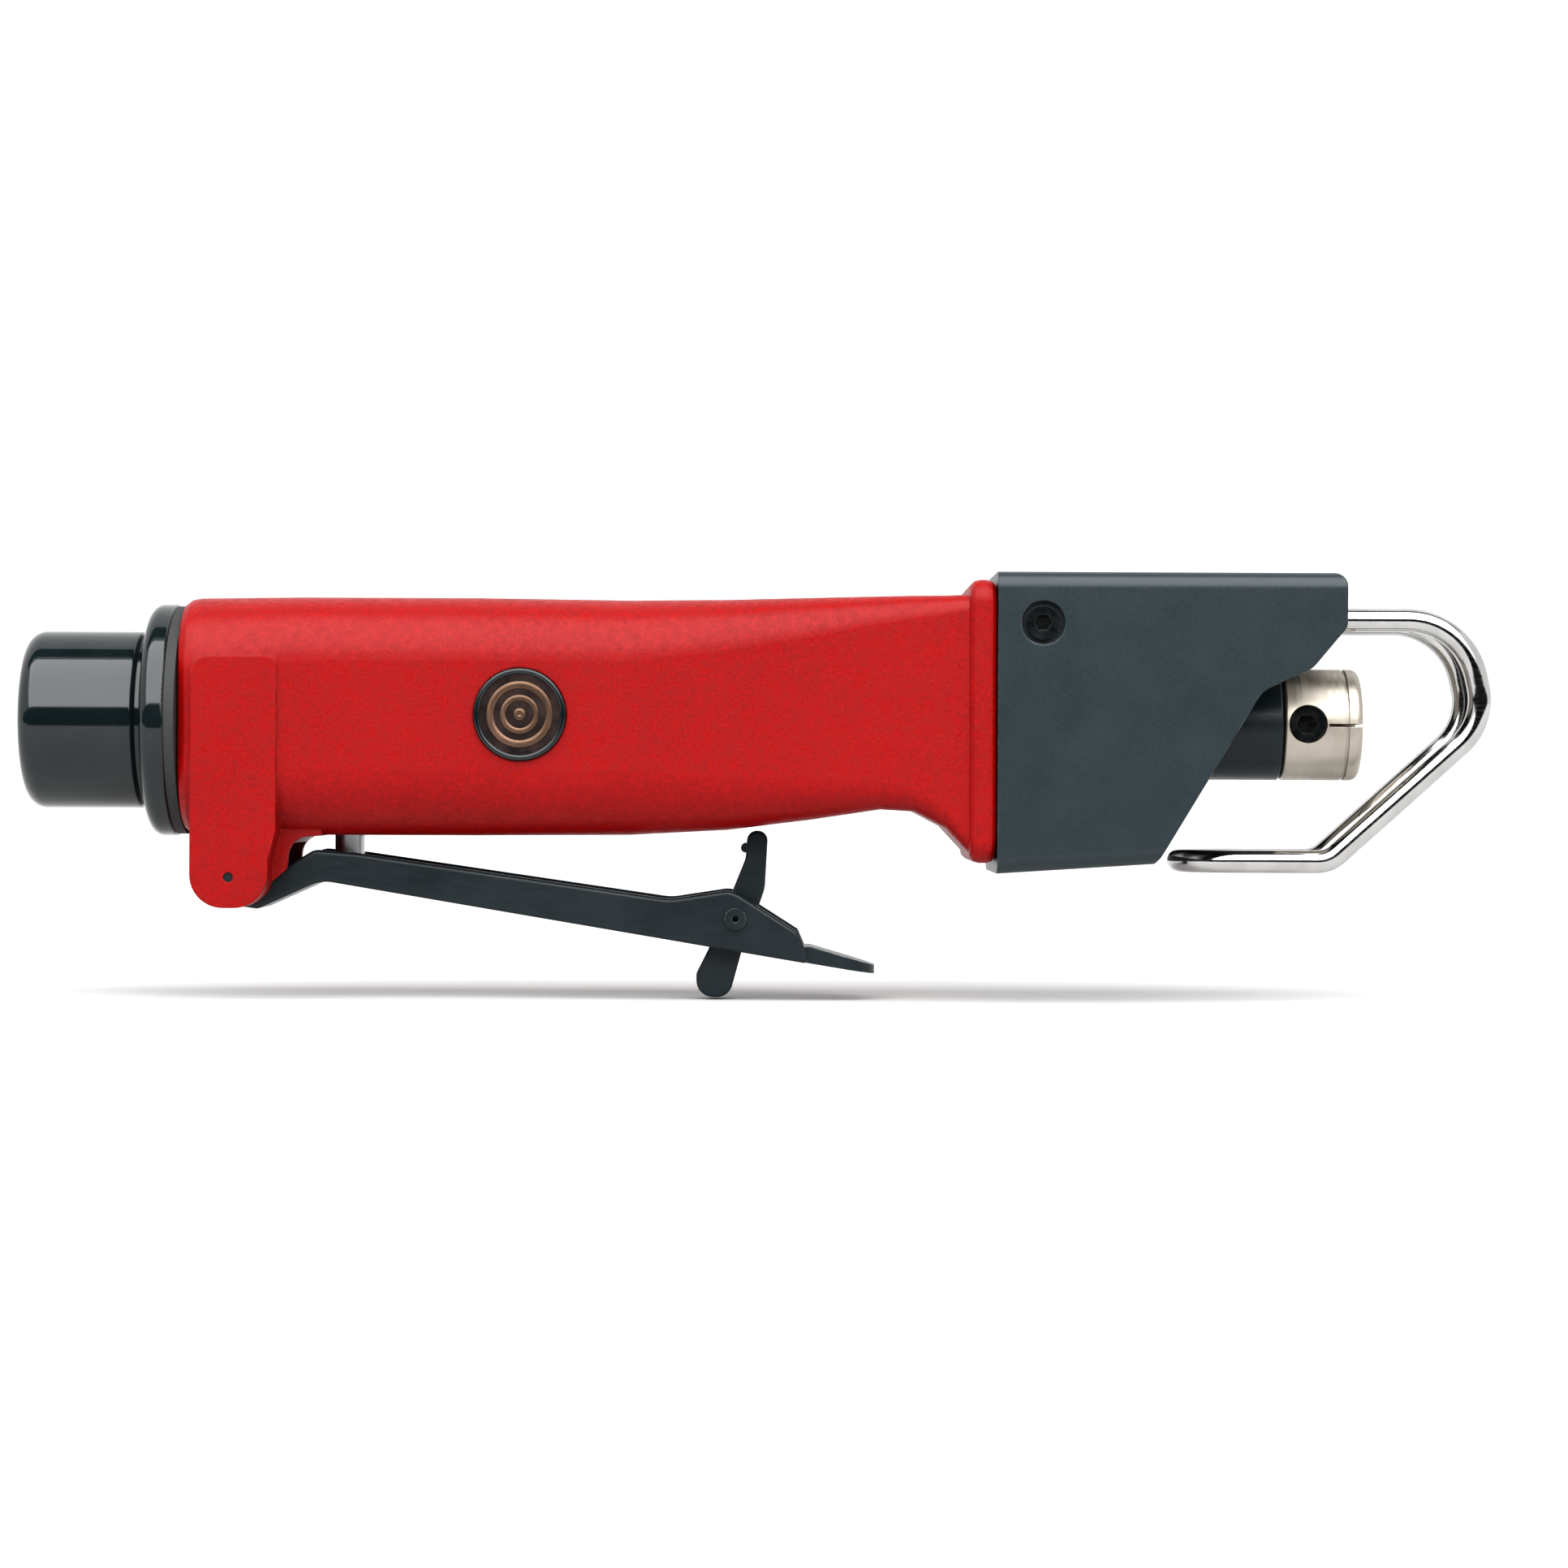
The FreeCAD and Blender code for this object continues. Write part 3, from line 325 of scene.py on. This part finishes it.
def felt():
    """Pressed felt: dull grey, with tangled fibres."""
    material, tree, shader = new_material("felt")
    fibres = noise(tree, 0.4, 5.0, 0.7, distortion=1.6)
    base = blend_colours(tree, span(tree, fibres, 0.3, 0.7), (0.16, 0.155, 0.145), (0.34, 0.33, 0.31))
    tree.links.new(base, shader.inputs["Base Color"])
    shader.inputs["Roughness"].default_value = 0.95
    shader.inputs["Sheen Weight"].default_value = 0.3
    tree.links.new(bump(tree, fibres, 0.12, eased(tree, 0.2)), shader.inputs["Normal"])
    return material


def badge_enamel():
    """Glossy dark enamel of the plain badge, slightly clouded."""
    material, tree, shader = new_material("badge")
    cloud = noise(tree, 2.6, 2.0, 0.5)
    base = blend_colours(tree, span(tree, cloud, 0.3, 0.7), (0.012, 0.009, 0.009), (0.030, 0.020, 0.018))
    tree.links.new(base, shader.inputs["Base Color"])
    tree.links.new(span(tree, cloud, 0.3, 0.7, 0.10, 0.16), shader.inputs["Roughness"])
    tree.links.new(bump(tree, cloud, 0.008, eased(tree, 0.1), 0.5), shader.inputs["Normal"])
    return material


FINISHES = {
    "red_paint": red_paint(),
    "black_gloss": black_gloss(),
    "black_rubber": black_rubber(),
    "slate_coat": slate_coat(),
    "dark_steel": dark_steel(),
    "nickel": turned_metal("nickel", (0.38, 0.345, 0.295), (0.46, 0.425, 0.37), 0.42, 0.5),
    "bright_wire": bright_wire(),
    "steel": turned_metal("steel", (0.44, 0.45, 0.46), (0.54, 0.55, 0.56), 0.30, 0.6, axis=(0.02, 0.02, 1.0)),
    "brass": turned_metal("brass", (0.62, 0.44, 0.18), (0.76, 0.58, 0.28), 0.24, 0.3),
    "aluminium": turned_metal("aluminium", (0.62, 0.63, 0.64), (0.74, 0.75, 0.76), 0.32, 0.35),
    "badge": badge_enamel(),
    "felt": felt(),
}


SCREWS = ("guard_screws", "wire_set_screws", "nose_screws", "blade_clamp_screw")


def finish_cad_nodes():
    """Every CAD node takes the finish of the slot that it was packed with, and screws take a blacker one
    whose extra black is painted shade of their recesses.
    """
    # oxide: the screw finish, its near-black partly painted shade of the recesses
    oxide = black_screw_with_recess_shade()
    for name, node in nodes.items():
        for index, place_holder in enumerate(node.data.materials):
            slot_name = place_holder.name.split(".")[0]
            node.data.materials[index] = oxide if name in SCREWS else FINISHES[slot_name]


finish_cad_nodes()


# ---------------------------------------------------------------- small trim

def add_piece(name, shape, slot, body, finish=None):
    """Makes a bmesh into a smooth piece that rides on a body and wears its slot's finish or a named one."""
    bmesh.ops.remove_doubles(shape, verts=shape.verts, dist=0.001 * MM)
    bmesh.ops.recalc_face_normals(shape, faces=shape.faces)
    for face in shape.faces:
        face.smooth = True
    mesh = bpy.data.meshes.new(name)
    shape.to_mesh(mesh)
    shape.free()
    mesh.materials.append(finish or FINISHES[slot])
    piece = bpy.data.objects.new(name, mesh)
    bpy.context.scene.collection.objects.link(piece)
    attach(piece, body)


def skin(shape, rows, closed):
    """Faces between neighbouring rows of points; closed joins the last row back to the first."""
    made = [[shape.verts.new(point) for point in row] for row in rows]
    pairs = list(zip(made, made[1:])) + ([(made[-1], made[0])] if closed else [])
    for row, following in pairs:
        for here in range(len(row)):
            beside = (here + 1) % len(row)
            shape.faces.new((row[here], row[beside], following[beside], following[here]))
    return made


def turned_on_side(name, outline, centre, slot, body, finish=None):
    """A ring turned about a line across the tool, from a closed outline of (radius, height) in mm."""
    steps = 96
    shape = bmesh.new()
    rows = []
    for step in range(steps):
        turn = math.tau * step / steps
        rows.append([
            centre + MM * Vector((radius * math.cos(turn), -height, radius * math.sin(turn)))
            for radius, height in outline
        ])
    skin(shape, rows, closed=True)
    add_piece(name, shape, slot, body, finish)


def half_round(middle, half_width, height, sunk=0.15):
    """Outline of a bead: an elliptical crown over a foot that is sunk into the face below."""
    steps = 10
    crown = [math.pi * step / steps for step in range(steps + 1)]
    over = [(middle + half_width * math.cos(turn), height * math.sin(turn)) for turn in crown]
    return [(middle + half_width, -sunk)] + over + [(middle - half_width, -sunk)]


def badge_trim():
    """Plain badge trim: a black rim, two fine raised rings and a low boss in the middle."""
    low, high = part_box("badge")
    face = Vector(((low.x + high.x) / 2, low.y, (low.z + high.z) / 2))
    radius = (high.x - low.x) / 2 / MM
    rim_half_width = 0.45
    rim = half_round(radius - rim_half_width, rim_half_width, 0.32)
    outer_ring = half_round(radius * 0.64, 0.62, 0.22)
    inner_ring = half_round(radius * 0.36, 0.50, 0.22)
    boss = half_round(radius * 0.07, radius * 0.069, 0.25)
    turned_on_side("badge_rim", rim, face, "black_gloss", "grip")
    bronze = turned_metal("badge_bronze", (0.10, 0.062, 0.042), (0.17, 0.105, 0.075), 0.38, 0.4)
    turned_on_side("badge_ring_outer", outer_ring, face, "badge", "grip", bronze)
    turned_on_side("badge_ring_inner", inner_ring, face, "badge", "grip", bronze)
    turned_on_side("badge_boss", boss, face, "badge", "grip", bronze)


def inlet_thread():
    """The hose thread's crests, wound along the inside of the inlet bore and easing out at both ends."""
    inlet = [mount for mount in frame["record"]["mounts"] if mount["name"] == "air_inlet"][0]
    bore = inlet["dims"]["r_mm"] * MM
    root = bore + 0.05 * MM
    first_crest = 1.0 * MM
    pitch = 1.41 * MM
    half_foot = 0.45 * pitch
    crest = 0.32 * MM
    per_turn = 36
    turns = 8
    last_step = turns * per_turn
    shape = bmesh.new()
    rows = []
    for step in range(last_step + 1):
        turn = math.tau * step / per_turn
        along = first_crest + pitch * step / per_turn
        ease = min(1.0, 2.0 * step / per_turn, 2.0 * (last_step - step) / per_turn)
        section = ((along - half_foot, root), (along, bore - crest * ease), (along + half_foot, root))
        rows.append([Vector((x, r * math.cos(turn), r * math.sin(turn))) for x, r in section])
    made = skin(shape, rows, closed=False)
    shape.faces.new(made[0])
    shape.faces.new(list(reversed(made[-1])))
    add_piece("inlet_thread", shape, "steel", "grip")


def valve_spring():
    """The throttle valve's spring, in its CAD shape, as a piece of its own riding on the grip."""
    mesh = nodes["throttle_valve_spring"].data.copy()
    spring = bpy.data.objects.new("closing_valve_spring", mesh)
    bpy.context.scene.collection.objects.link(spring)
    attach(spring, "grip")
    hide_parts("throttle_valve_spring")
    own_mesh(spring)


badge_trim()
inlet_thread()
valve_spring()


# ---------------------------------------------------------------- stage, light and camera

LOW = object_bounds()[0]
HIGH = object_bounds()[1]
MIDDLE = (LOW + HIGH) / 2


def pale_floor():
    """A pale floor, darker near the tool, and see-through from below so that the underside can be seen. The
    grading is painted: shade near the tool that cuts its bounce onto the tool, and light far off that keeps
    it as white as the surround where the key falls off.
    """
    material, tree, shader = new_material("pale_floor")
    away = put(tree, "ShaderNodeVectorMath", {0: place(tree)}, operation="LENGTH").outputs["Value"]
    tone = noise(tree, 160.0, 2.0, 0.5)
    near = blend_colours(tree, span(tree, tone, 0.3, 0.7), (0.50, 0.50, 0.50), (0.53, 0.53, 0.53))
    near_radius = 0.35
    far_radius = 2.2
    # painted light and shade: grey near the tool, near white past far_radius to make up for the key's falloff
    base = blend_colours(tree, span(tree, away, near_radius, far_radius), near, (0.97, 0.97, 0.97))
    tree.links.new(base, shader.inputs["Base Color"])
    shader.inputs["Roughness"].default_value = 0.9
    shader.inputs["Specular IOR Level"].default_value = 0.1
    underneath = put(tree, "ShaderNodeNewGeometry").outputs["Backfacing"]
    clear = put(tree, "ShaderNodeBsdfTransparent").outputs["BSDF"]
    mixed = put(tree, "ShaderNodeMixShader", {0: underneath, 1: shader.outputs["BSDF"], 2: clear})
    tree.links.new(mixed.outputs["Shader"], tree.nodes["Material Output"].inputs["Surface"])
    mesh = bpy.data.meshes.new("floor")
    shape = bmesh.new()
    floor_radius = 6.0
    bmesh.ops.create_circle(shape, cap_ends=True, segments=96, radius=floor_radius)
    shape.to_mesh(mesh)
    shape.free()
    floor = bpy.data.objects.new("floor", mesh)
    gap_under_tool = 0.4 * MM
    floor.location = (MIDDLE.x, 0.0, LOW.z - gap_under_tool)
    mesh.materials.append(material)
    bpy.context.scene.collection.objects.link(floor)


def softbox(name, aim, distance, azimuth, elevation, width, height, brightness):
    """A rectangular light that faces aim from a distance; azimuth and elevation are in degrees."""
    data = bpy.data.lights.new(name, "AREA")
    data.shape = "RECTANGLE"
    data.size = width
    data.size_y = height
    data.energy = brightness * math.pi * width * height
    light = bpy.data.objects.new(name, data)
    az, el = math.radians(azimuth), math.radians(elevation)
    away = Vector((math.sin(az) * math.cos(el), -math.cos(az) * math.cos(el), math.sin(el)))
    light.location = aim + away * distance
    light.rotation_euler = away.to_track_quat("Z", "Y").to_euler()
    bpy.context.scene.collection.objects.link(light)


def world(brightness):
    """A white surround of even brightness."""
    scene_world = bpy.data.worlds.new("studio")
    scene_world.use_nodes = True
    background = scene_world.node_tree.nodes["Background"]
    background.inputs["Color"].default_value = (1.0, 1.0, 1.0, 1.0)
    background.inputs["Strength"].default_value = brightness
    bpy.context.scene.world = scene_world


def flag(name, corners):
    """A black card seen only in reflections, as a photographer hangs beside the camera; corners in metres."""
    material, tree, shader = new_material("flag_cloth")
    weave = noise(tree, 40.0)
    base = blend_colours(tree, weave, (0.0, 0.0, 0.0), (0.004, 0.004, 0.004))
    tree.links.new(base, shader.inputs["Base Color"])
    shader.inputs["Roughness"].default_value = 1.0
    shader.inputs["Specular IOR Level"].default_value = 0.0
    mesh = bpy.data.meshes.new(name)
    mesh.from_pydata([Vector(c) for c in corners], [], [(0, 1, 2, 3)])
    mesh.materials.append(material)
    card = bpy.data.objects.new(name, mesh)
    card.visible_camera = False
    card.visible_shadow = False
    card.visible_diffuse = False
    bpy.context.scene.collection.objects.link(card)


def camera():
    """Level with the tool and square to its side, as far off as a long lens would stand."""
    data = bpy.data.cameras.new("camera")
    data.sensor_width = 36.0
    data.lens = 93.9
    data.clip_start = 0.01
    data.clip_end = 50.0
    eye = bpy.data.objects.new("camera", data)
    eye.location = (0.1253, -0.680, -0.0102)
    tilt = math.radians(-0.25)
    eye.rotation_euler = (math.radians(90.0), tilt, 0.0)
    bpy.context.scene.collection.objects.link(eye)
    bpy.context.scene.camera = eye


pale_floor()
softbox("key", MIDDLE, distance=1.3, azimuth=0.0, elevation=50.0, width=2.4, height=1.75, brightness=4.0)

FRONT = -0.30
FRONT_TOP = 0.075
flag("front_flag", [
    (-1.2, FRONT, LOW.z),
    (1.4, FRONT, LOW.z),
    (1.4, FRONT, FRONT_TOP),
    (-1.2, FRONT, FRONT_TOP),
])

CEILING = 1.4
flag("top_flag", [
    (-1.5, -0.05, CEILING),
    (1.7, -0.05, CEILING),
    (1.7, 0.35, CEILING),
    (-1.5, 0.35, CEILING),
])

world(1.05)
camera()
bpy.context.scene.view_settings.view_transform = "Standard"
bpy.context.scene.view_settings.look = "Medium High Contrast"
